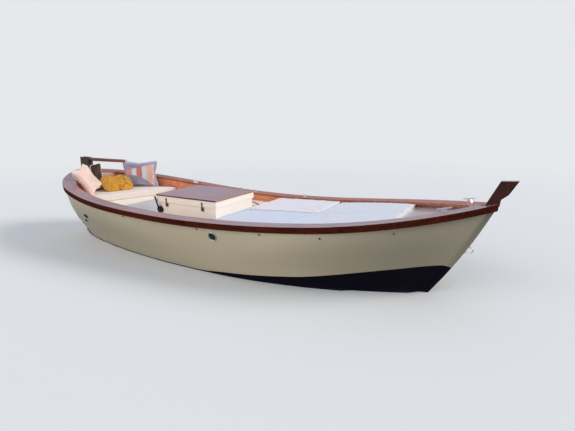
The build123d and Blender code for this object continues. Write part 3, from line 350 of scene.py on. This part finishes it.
def outline(solid, towards):
    # The edge round the faces of a solid that look one way, as an ordered loop of points
    chosen = {face for face in solid.faces if face.normal.dot(towards) > 0.6}
    chain = {}
    for edge in solid.edges:
        if sum(face in chosen for face in edge.link_faces) == 1:
            a, b = edge.verts
            chain.setdefault(a, []).append(b)
            chain.setdefault(b, []).append(a)
    start = next(iter(chain))
    loop, before, here = [start.co.copy()], None, start
    while True:
        after = [v for v in chain[here] if v is not before]
        if not after or after[0] is start:
            break
        before, here = here, after[0]
        loop.append(here.co.copy())
    return loop


# Each round plate on the hull: its rim, middle and radius
outlets = []
for solid in closedSolids("hull_outlets"):
    side = math.copysign(1, sum(v.co.y for v in solid.verts))
    rim = outline(solid, Vector((0, side, 0)))
    middle = sum(rim, Vector()) / len(rim)
    outlets.append((rim, middle, max(spot.x for spot in rim) - middle.x))
ventRadius = max(radius for _, _, radius in outlets)
ventShare = 0.9  # plates larger than this share of the vent's radius are vents
drainShare = 0.3  # and those smaller than this are drains
ventX = next(middle.x for _, middle, radius in outlets if radius > ventShare * ventRadius)


def dress(name, material, *parts):
    # parts: (material, test of a face's centre and normal), later ones win
    mesh = nodes[name].data
    mesh.materials.clear()
    for finish in [material] + [part[0] for part in parts]:
        mesh.materials.append(finish)
    for face in mesh.polygons:
        face.material_index = 0
        for index, (_, test) in enumerate(parts, 1):
            if test(face.center, face.normal):
                face.material_index = index


# Places along the hull where a finish changes, in metres
finishLook = {"coamingShadeFrom": 1.9, "railEndsAft": -2.9, "ventReach": 60 * mm, "quarterPlates": -2.5,
              "tillerTip": 25 * mm}
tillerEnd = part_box("tiller")[1].x
dress("hull_shell", hullPaint, (liner, lambda c, n: n.y * c.y < -0.02 * abs(c.y)))
dress("keel", stemPaint)
dress("cap_rails", skyTintedRailWood, (portRailWood, lambda c, n: c.y > 0),
      (strakeWood, lambda c, n: c.y * n.y > 0 and n.z < 0.75 and c.x > finishLook["railEndsAft"]))
dress("rubbing_strakes", strakeWood)
# Inside, the coaming carries painted sunlight; forward of an X, painted shade
dress("coamings", sunlitCoamingWood, (shadedForeCoamingWood, lambda c, n: c.x > finishLook["coamingShadeFrom"]))
# Painted light on the stem head: dark shade on its sides, a pale highlight on its top and ends
dress("stem_head", shadedHeadWood, (highlightWood, lambda c, n: abs(n.y) < 0.5))
dress("stern_deck", skyTintedDeckWood)
dress("foredeck", skyTintedDeckWood)
# The stern backrest takes the same mahogany with painted sunlight
dress("stern_backrest", sunlitCoamingWood)
dress("fore_coaming", foreLiner)
dress("sole", nonSlipShadedLiner)
for name in ("sunbed_platform", "engine_box", "engine_lid", "engine_beds"):
    dress(name, liner)
# The locker door and the seat's forward face take the bluish grey of painted shade, the seat's other faces
# the plain liner
dress("locker_door", nonSlipShadedLiner)
dress("aft_seat", nonSlipShadedLiner, (liner, lambda c, n: n.x < 0.5))
# Painted light on the lid board: shade on its side edges, sunlight on its forward edge
dress("lid_board", skyTintedBoardWood, (shadedEdgeWood, lambda c, n: n.z < 0.5), (sunlitForeEdgeWood, lambda c, n: n.x > 0.7))
dress("engine_block", enginePaint)
for name in ("box_hinges", "lid_hinges", "door_hinges", "seat_hinges", "mooring_cleats", "rail_sockets",
             "filler_cap", "bow_eye", "rudder_tube"):
    dress(name, stainless)
# Latches and keepers take steel darkened with painted shade
for name in ("box_latches", "lid_keepers"):
    dress(name, shadedSteel)
for name in ("shaft_tube", "propeller_shaft", "propeller", "heel_shoe"):
    dress(name, bronze)
dress("engine_control", blackPlastic)
dress("rudder_blade", bottomPaint)
dress("rudder_head", rudderIron)
# The tiller's tip carries the pale painted highlight
dress("tiller", tillerWood, (highlightWood, lambda c, n: c.x > tillerEnd - finishLook["tillerTip"]))
# The plates far aft on the quarter are painted over: the outlets show further forward, as rings
dress("hull_outlets", blackPlastic, (grillePlastic, lambda c, n: abs(c.x - ventX) < finishLook["ventReach"]),
      (hullPaint, lambda c, n: c.x < finishLook["quarterPlates"]))
print("CAD nodes dressed")


def softEdge(name, width, segments=3):
    # Moulded corners: the sharp CAD edges are eased for the picture only
    weld = nodes[name].modifiers.new("weld", "WELD")
    weld.merge_threshold = 0.02 * mm
    ease = nodes[name].modifiers.new("softEdge", "BEVEL")
    ease.width, ease.segments = width, segments
    ease.limit_method, ease.angle_limit = "ANGLE", math.radians(50)


for name, width in (("engine_box", 9 * mm), ("aft_seat", 6 * mm), ("locker_door", 2 * mm),
                    ("box_latches", 2 * mm), ("engine_lid", 4 * mm)):
    softEdge(name, width)


def newObject(name, data, material, body="hull"):
    piece = bpy.data.objects.new(name, data)
    scene.collection.objects.link(piece)
    piece.data.materials.append(material)
    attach(piece, body)
    return piece


def applyModifiers(piece):
    evaluated = piece.evaluated_get(bpy.context.evaluated_depsgraph_get())
    made = bpy.data.meshes.new_from_object(evaluated)
    piece.modifiers.clear()
    old = piece.data
    piece.data = made
    bpy.data.meshes.remove(old)


def inflate(piece, settings, held=()):
    # Cloth with pressure inside, gravity off; each point may leave its place by no more than the cap
    rest = [v.co.copy() for v in piece.data.vertices]
    blow = piece.modifiers.new("filling", "CLOTH")
    blow.settings.quality = settings.get("quality", 4)
    blow.settings.mass = 0.3
    blow.settings.tension_stiffness = settings.get("stiffness", 15)
    blow.settings.compression_stiffness = settings.get("stiffness", 15)
    blow.settings.bending_stiffness = settings.get("bending", 0.5)
    blow.settings.use_pressure = True
    blow.settings.uniform_pressure_force = settings["pressure"]
    blow.settings.effector_weights.gravity = 0
    blow.collision_settings.use_collision = False
    blow.point_cache.frame_end = 20
    for frameNumber in range(1, 21):
        scene.frame_set(frameNumber)
    evaluated = piece.evaluated_get(bpy.context.evaluated_depsgraph_get())
    moved = [v.co.copy() for v in evaluated.data.vertices]
    piece.modifiers.clear()
    scene.frame_set(1)
    held = set(held)
    for vert, start, end in zip(piece.data.vertices, rest, moved):
        step = end - start
        # Filled pillows narrow as they swell; only a share of that is kept
        step.y *= settings.get("narrowing", 1)
        step.z *= settings.get("narrowing", 1)
        if step.length > settings["cap"]:
            step *= settings["cap"] / step.length
        vert.co = start if vert.index in held else start + step


def smoothFaces(piece):
    for face in piece.data.polygons:
        face.use_smooth = True


def setCreaseShade(piece, depths):
    # depths: 0 on top of a fold to 1 at its bottom, one per point; the cloth paints shade by them
    folds = piece.data.attributes.new("folds", "FLOAT", "POINT")
    for point, depth in zip(folds.data, depths):
        point.value = depth


def softPad(name, solid, node, material, settings, crease=None):
    mesh = bpy.data.meshes.new(name)
    solid.to_mesh(mesh)
    piece = newObject(name, mesh, material)
    shrink = piece.modifiers.new("shrink", "DISPLACE")
    shrink.strength, shrink.mid_level = -settings["shrink"], 0
    remesh = piece.modifiers.new("voxels", "REMESH")
    remesh.mode, remesh.voxel_size = "VOXEL", settings["voxel"]
    soften = piece.modifiers.new("soften", "SMOOTH")
    soften.iterations, soften.factor = settings["soften"], 0.5
    applyModifiers(piece)
    # The underside lies on wood or gelcoat, so it stays flat
    inflate(piece, settings, [v.index for v in piece.data.vertices if v.normal.z < -0.5])
    finer = piece.modifiers.new("finer", "SUBSURF")
    finer.levels = finer.render_levels = 1
    applyModifiers(piece)
    if crease:
        # Normals are read before any point moves, because each move makes Blender work them out again
        upright = [vert.normal.z > 0.3 for vert in piece.data.vertices]
        depths = [crease(vert.co) if top else 0 for vert, top in zip(piece.data.vertices, upright)]
        for vert, depth in zip(piece.data.vertices, depths):
            vert.co.z -= depth
        setCreaseShade(piece, [min(1, depth / (12 * mm)) for depth in depths])
    piece.data.materials.clear()
    piece.data.materials.append(material)
    smoothFaces(piece)
    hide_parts(node)
    return piece


def evenly(loop, spacing):
    points = []
    for a, b in zip(loop, loop[1:] + loop[:1]):
        count = max(1, round((b - a).length / spacing))
        points += [a.lerp(b, i / count) for i in range(count)]
    return points


def tubeLine(name, lines, radius, material, body="hull", closed=True):
    # One piece of round cord or wire along each list of points
    line = bpy.data.curves.new(name, "CURVE")
    line.dimensions = "3D"
    line.bevel_depth = radius
    line.bevel_resolution = 2
    line.use_fill_caps = True
    for points in lines:
        spline = line.splines.new("POLY")
        spline.points.add(len(points) - 1)
        for target, spot in zip(spline.points, points):
            target.co = (*spot, 1)
        spline.use_cyclic_u = closed
        spline.use_smooth = True
    return newObject(name, line, material, body)


def seated(points, cover, lift):
    # The nearest places on a piece's surface, lifted along its normal
    tree = BVHTree.FromObject(cover, bpy.context.evaluated_depsgraph_get())
    home = cover.matrix_world
    back = home.inverted()
    spots = [tree.find_nearest(back @ point)[:2] for point in points]
    return [home @ (spot + normal * lift) for spot, normal in spots]


cushionLook = {"shrink": 1 * mm, "voxel": 15 * mm, "soften": 1, "pressure": 4.0, "cap": 10 * mm, "fill": 0.8,
               "piping": 4 * mm}
solid = closedSolids("aft_cushion")[0]
loop = evenly(outline(solid, upward), 30 * mm)
cover = softPad("aft_cushion_cover", solid, "aft_cushion", cushionCloth, cushionLook)
tubeLine("aft_cushion_piping", [seated(loop, cover, 1.2 * mm)], cushionLook["piping"], pipingCloth)
print("aft cushion done")

padLook = {"shrink": 1.5 * mm, "voxel": 14 * mm, "soften": 1, "pressure": 1.5, "cap": 3 * mm, "fill": 0.7,
           "piping": 7 * mm, "creaseDepth": 3 * mm, "creaseReach": 0.35, "creases": 7}
padMiddle = (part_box("sunbed_pads")[0].x + 1.26, 0.0)  # where the four pads meet


def padCrease(spot):
    # Creases that run out from the corner where the four pads meet
    x, y = spot.x - padMiddle[0], spot.y - padMiddle[1]
    away = math.hypot(x, y)
    turn = math.atan2(y, x) * padLook["creases"] + 3 * noise.noise(spot * 3)
    ridge = max(0.0, math.cos(turn)) ** 3
    near = min(1.0, away / 0.12) * math.exp(-(away / padLook["creaseReach"]) ** 2)
    return padLook["creaseDepth"] * ridge * near


for solid in closedSolids("sunbed_pads"):
    middle = sum((v.co for v in solid.verts), Vector()) / len(solid.verts)
    aft = min(v.co.x for v in solid.verts) < padMiddle[0] - 0.1
    raised = aft and middle.y > 0.2
    place = ("raised" if raised else "aft") if aft else ("fore_port" if middle.y > 0 else "fore_starboard")
    name = "sunbed_pad_" + place
    loop = evenly(outline(solid, upward), 30 * mm)
    cover = softPad(name, solid, "sunbed_pads", raisedCloth if raised else shadedPadCloth if aft else shadedForePadCloth,
                    padLook, padCrease)
    if raised:
        tubeLine(name + "_piping", [seated(loop, cover, 2 * mm)], padLook["piping"], pipingCloth)
print("sunbed pads done")


def pillowPose(roll, lean, turn):
    return (Matrix.Rotation(math.radians(turn), 4, "Z") @ Matrix.Rotation(math.radians(-lean), 4, "Y")
            @ Matrix.Rotation(math.radians(roll), 4, "X"))


def sewnPillow(node, look, material):
    # Two sheets sewn along their edges and blown up. X is the pillow's thickness, Y its width, Z its height
    width, height, thickness = (size * mm for size in look["size"])
    across = 34
    up = max(8, round(across * height / width))
    maker = bmesh.new()
    rows = {}
    for side in (-1, 1):
        for j in range(up + 1):
            for i in range(across + 1):
                u, v = 2 * i / across - 1, 2 * j / up - 1
                rim = i in (0, across) or j in (0, up)
                if rim and side == 1:
                    rows[side, i, j] = rows[-1, i, j]
                    continue
                swell = (1 - u ** 4) * (1 - v ** 4)
                # The seams pull in between the corners, which stay out as ears
                pullY = 1 - look.get("pull", 0.02) * (1 - v * v)
                pullZ = 1 - look.get("pull", 0.02) * (1 - u * u)
                cornerY = 1 - look.get("corner", 0.06) * v ** 4
                cornerZ = 1 - look.get("corner", 0.06) * u ** 4
                rows[side, i, j] = maker.verts.new((side * 0.3 * thickness * swell,
                                                    u * width / 2 * pullY * cornerY,
                                                    v * height / 2 * pullZ * cornerZ))
    rimLoop = [(i, 0) for i in range(across)] + [(across, j) for j in range(up)]
    rimLoop += [(i, up) for i in range(across, 0, -1)] + [(0, j) for j in range(up, 0, -1)]
    rimSpots = [rows[-1, i, j] for i, j in rimLoop]
    for side in (-1, 1):
        for j in range(up):
            for i in range(across):
                corners = ((i, j), (i + 1, j), (i + 1, j + 1), (i, j + 1))
                quad = [rows[side, across1, up1] for across1, up1 in corners]
                maker.faces.new(quad if side == 1 else quad[::-1])
    bmesh.ops.recalc_face_normals(maker, faces=maker.faces)
    maker.verts.index_update()
    rimIndex = [vert.index for vert in rimSpots]
    mesh = bpy.data.meshes.new(node + "_cover")
    maker.to_mesh(mesh)
    maker.free()
    piece = newObject(node + "_cover", mesh, material)
    inflate(piece, look)
    # Back to the size of the real pillow
    wanted = (thickness / 2, width / 2, height / 2)
    spread = [max(abs(v.co[k]) for v in piece.data.vertices) for k in range(3)]
    for vert in piece.data.vertices:
        for k in range(3):
            vert.co[k] *= wanted[k] / spread[k]
    rim = [piece.data.vertices[k].co.copy() for k in rimIndex]
    finer = piece.modifiers.new("finer", "SUBSURF")
    finer.levels = finer.render_levels = look.get("finer", 1)
    applyModifiers(piece)
    normals = [vert.normal.copy() for vert in piece.data.vertices]
    depths = []
    for vert in piece.data.vertices:
        fading = 1 - min(1, abs(vert.co.y) / wanted[1]) ** 6
        depths.append(look["fold"](vert.co) * fading)
    for vert, normal, depth in zip(piece.data.vertices, normals, depths):
        vert.co -= normal * depth
    setCreaseShade(piece, [min(1, max(0, depth / (14 * mm))) for depth in depths])
    smoothFaces(piece)
    low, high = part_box(node)
    piece.matrix_world = Matrix.Translation((low + high) / 2) @ pillowPose(*look["turns"])
    bpy.context.view_layer.update()
    drop = min((piece.matrix_world @ v.co).z for v in piece.data.vertices)
    piece.matrix_world = Matrix.Translation((0, 0, low.z - 3 * mm - drop)) @ piece.matrix_world
    bpy.context.view_layer.update()
    tubeLine(node + "_piping", [[piece.matrix_world @ spot for spot in rim]], 3 * mm,
             look.get("pipingCloth", material))
    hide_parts(node)


def creamFold(spot):
    # A few short creases beside each other a little under the middle
    y, z = spot.y / (90 * mm), (spot.z + 20 * mm) / (60 * mm)
    near = math.exp(-(y * y + z * z))
    return 5 * mm * near * max(0, math.cos(spot.y * math.tau / (32 * mm) + spot.z * 14)) ** 2


def mustardFold(spot):
    # Deep loose folds, most of them to the right of the middle
    right = 0.35 + 0.65 * min(1, max(0, (spot.y + 0.05) / 0.15))
    warp = Vector((0, noise.noise(spot * 9), noise.noise(spot * 9 + Vector((5, 0, 0))))) * 0.05
    bent = spot + warp
    ridge = 1 - abs(noise.noise(Vector((bent.x * 6, bent.y * 15, bent.z * 9)))) * 3.2
    return 15 * mm * right * max(0, ridge) ** 1.5


def softFold(spot):
    return 6 * mm * max(0, noise.noise(spot * 7))


blownUp = {"pressure": 5.0, "cap": 60 * mm, "fill": 0.7, "stiffness": 20, "bending": 0.1, "quality": 6,
           "narrowing": 0.3}
creamLook = {**blownUp, "size": (508, 475, 130), "turns": (9, 32, 30), "pull": 0.08, "corner": 0.0,
             "fold": creamFold}
brownLook = {**blownUp, "size": (200, 440, 50), "turns": (6, 0, 0), "fold": softFold,
             "pipingCloth": pipingCloth}
mustardLook = {**blownUp, "size": (490, 395, 138), "turns": (-2, 55, -20), "pull": 0.0, "corner": 0.2,
               "fold": mustardFold, "finer": 2}
stripedLook = {**blownUp, "size": (620, 470, 115), "turns": (0, 5, -61), "pull": 0.07, "corner": 0.0,
               "fold": softFold, "pipingCloth": pipingCloth}
sewnPillow("pillow_cream", creamLook, pinkLinen)
sewnPillow("pillow_brown", brownLook, brownCloth)
sewnPillow("pillow_mustard", mustardLook, mustardKnit)
sewnPillow("pillow_striped", stripedLook, lilacStripe)
print("pillows done")


rimLook = {"vent": 5 * mm, "drain": 1.5 * mm, "slat": 2.5 * mm, "slats": 5}
for kind, low, high in (("vent", ventShare, 2), ("drain", 0, drainShare)):
    rims = [rim for rim, _, radius in outlets if low * ventRadius < radius <= high * ventRadius]
    tubeLine(kind + "_rims", rims, rimLook[kind], stainless)
slats = []
for rim, middle, radius in outlets:
    if radius < ventShare * ventRadius:
        continue
    lean = max(rim, key=lambda spot: spot.z) - middle
    for k in range(rimLook["slats"]):
        share = (k + 1) / (rimLook["slats"] + 1) * 2 - 1
        half = radius * math.sqrt(1 - share * share) - 4 * mm
        spot = middle + lean * share
        slats.append([spot - Vector((half, 0, 0)), spot + Vector((half, 0, 0))])
tubeLine("vent_slats", slats, rimLook["slat"], grillePlastic, closed=False)

# Two black rings stand on the starboard quarter, one over the other: X, height and radius
ringLook = {"places": ((-2.07, 0.505, 30 * mm), (-2.24, 0.395, 17 * mm)), "wire": 8 * mm}
skin = BVHTree.FromObject(nodes["hull_shell"], bpy.context.evaluated_depsgraph_get())
circles = []
for x, z, radius in ringLook["places"]:
    spot, normal = skin.ray_cast(Vector((x, -2, z)), Vector((0, 1, 0)))[:2]
    normal = -normal if normal.y > 0 else normal
    along = normal.cross(upward).normalized()
    above = along.cross(normal)
    middle = spot + normal * ringLook["wire"] * 0.6
    circles.append([middle + (along * math.cos(turn) + above * math.sin(turn)) * radius
                    for turn in (k * math.tau / 24 for k in range(24))])
tubeLine("quarter_rings", circles, ringLook["wire"], blackPlastic)

# A short black strap lies on the shelf beside the box, made fast at both ends
strapLook = {"ends": ((-0.248, 0.734), (0.007, 0.562)), "width": 22 * mm, "thickness": 2.5 * mm,
             "bow": 14 * mm, "shelfTop": 0.620, "points": 13}
strap = bpy.data.curves.new("shelf_strap", "CURVE")
strap.dimensions = "3D"
strap.extrude, strap.bevel_depth = strapLook["width"] / 2, strapLook["thickness"] / 2
spline = strap.splines.new("POLY")
spline.points.add(strapLook["points"] - 1)
start, end = (Vector((*spot, strapLook["shelfTop"] + 2 * mm)) for spot in strapLook["ends"])
for k, point in enumerate(spline.points):
    share = k / (strapLook["points"] - 1)
    bow = strapLook["bow"] * math.sin(math.pi * share)
    point.co = (*(start.lerp(end, share) + Vector((0.6 * bow, bow, 0))), 1)
    point.tilt = math.pi / 2
newObject("shelf_strap", strap, blackPlastic)
print("trim done")


def waterplane():
    # The hull's outline at the water, one side, from stern to bow, pulled in a little
    spots = []
    for name in ("hull_shell", "keel"):
        cut = bmesh.new()
        cut.from_mesh(nodes[name].data)
        everything = cut.verts[:] + cut.edges[:] + cut.faces[:]
        made = bmesh.ops.bisect_plane(cut, geom=everything, plane_co=(0, 0, 0), plane_no=upward)
        spots += [g.co.copy() for g in made["geom_cut"] if isinstance(g, bmesh.types.BMVert)]
        cut.free()
    low, high = min(s.x for s in spots), max(s.x for s in spots)
    steps = 60
    side = []
    for k in range(steps + 1):
        x = low + (high - low) * k / steps
        near = [abs(s.y) for s in spots if abs(s.x - x) < (high - low) / steps]
        side.append((x, max(0.0, max(near, default=0.03) - 8 * mm)))
    return side


side = waterplane()
hole = [Vector((x, y, 0)) for x, y in side] + [Vector((x, -y, 0)) for x, y in reversed(side)]
floorMaker = bmesh.new()
inner = [floorMaker.verts.new(p) for p in hole]
# Colours of the floor as it is seen and as it lights the hull; it fades out between two distances
floorLook = {"seen": "#e2e3e4", "thrownBack": "#8f959b", "backdrop": "#e6e8eb", "reach": 60.0,
             "fadeFrom": 5.0, "fadeTo": 16.0}
outer = [floorMaker.verts.new(p.normalized() * floorLook["reach"]) for p in hole]
for k in range(len(hole)):
    after = (k + 1) % len(hole)
    if (inner[k].co - inner[after].co).length > 1e-6:
        floorMaker.faces.new([inner[k], inner[after], outer[after], outer[k]])
floorMesh = bpy.data.meshes.new("floor")
bmesh.ops.recalc_face_normals(floorMaker, faces=floorMaker.faces)
floorMaker.to_mesh(floorMesh)
floorMaker.free()
floor = bpy.data.objects.new("floor", floorMesh)
scene.collection.objects.link(floor)
floorPaint, floorTree, floorShader = newMaterial("paleStudioFloor", {"Roughness": 0.9,
                                                                    "Specular IOR Level": 0.1})
backdropColour = linear(floorLook["backdrop"])
seenByCamera = addNode(floorTree, "ShaderNodeLightPath").outputs["Is Camera Ray"]
# The floor throws less light back than it shows, as water would
floorColour = blend(floorTree, seenByCamera, linear(floorLook["thrownBack"]), linear(floorLook["seen"]))
floorTree.links.new(floorColour, floorShader.inputs["Base Color"])
# Towards its edge the floor fades into the backdrop, for the camera only
away = addNode(floorTree, "ShaderNodeVectorMath", {0: objectPlace(floorTree)}, operation="LENGTH")
fade = rescale(floorTree, away.outputs["Value"], (floorLook["fadeFrom"], floorLook["fadeTo"]), (0, 1),
               interpolation_type="SMOOTHSTEP")
backdrop = addNode(floorTree, "ShaderNodeEmission", {"Color": backdropColour})
faded = addNode(floorTree, "ShaderNodeMixShader", {0: maths(floorTree, "MULTIPLY", fade, seenByCamera),
                                                   1: floorShader.outputs[0], 2: backdrop.outputs[0]})
floorTree.links.new(faded.outputs[0], floorTree.nodes["Material Output"].inputs["Surface"])
floor.data.materials.append(floorPaint)

lightLook = {"worldLevel": 0.62, "worldColour": "#e4ebf7"}
# Each lamp: power, width in degrees, the side it stands on and its colour
lamps = {"key": (2.0, 24, (0.85, 0.35, 0.52), (1.0, 0.97, 0.92)),
         "fill": (1.3, 60, (-0.45, -0.8, 0.42), (1, 1, 1))}
world = bpy.data.worlds.new("studio")
world.use_nodes = True
scene.world = world
sky = world.node_tree
background = sky.nodes["Background"]
background.inputs["Color"].default_value = linear(lightLook["worldColour"])
background.inputs["Strength"].default_value = lightLook["worldLevel"]
seen = addNode(sky, "ShaderNodeBackground", {"Color": backdropColour, "Strength": 1.0})
seenDirectly = addNode(sky, "ShaderNodeLightPath").outputs["Is Camera Ray"]
either = addNode(sky, "ShaderNodeMixShader", {0: seenDirectly, 1: background.outputs[0], 2: seen.outputs[0]})
sky.links.new(either.outputs[0], sky.nodes["World Output"].inputs["Surface"])

for name, (power, width, source, colour) in lamps.items():
    lampData = bpy.data.lights.new(name, "SUN")
    lampData.energy = power
    lampData.angle = math.radians(width)
    lampData.color = colour
    lamp = bpy.data.objects.new(name, lampData)
    lamp.rotation_euler = Vector(source).to_track_quat("Z", "Y").to_euler()
    scene.collection.objects.link(lamp)

# Where the photographer stood; the focal length is in widths of the picture
cameraLook = {"place": (3.4506, -4.7343, 1.9403), "tilt": 76.77, "turn": 29.13, "focal": 430.02 / 575,
              "sensor": 36.0}
cameraData = bpy.data.cameras.new("camera")
cameraData.sensor_width = cameraLook["sensor"]
cameraData.lens = cameraLook["focal"] * cameraLook["sensor"]
cameraData.clip_end = 200
camera = bpy.data.objects.new("camera", cameraData)
camera.location = cameraLook["place"]
camera.rotation_euler = Euler((math.radians(cameraLook["tilt"]), 0, math.radians(cameraLook["turn"])))
scene.collection.objects.link(camera)
scene.camera = camera
scene.view_settings.view_transform = "Standard"
print("floor, light and camera done")
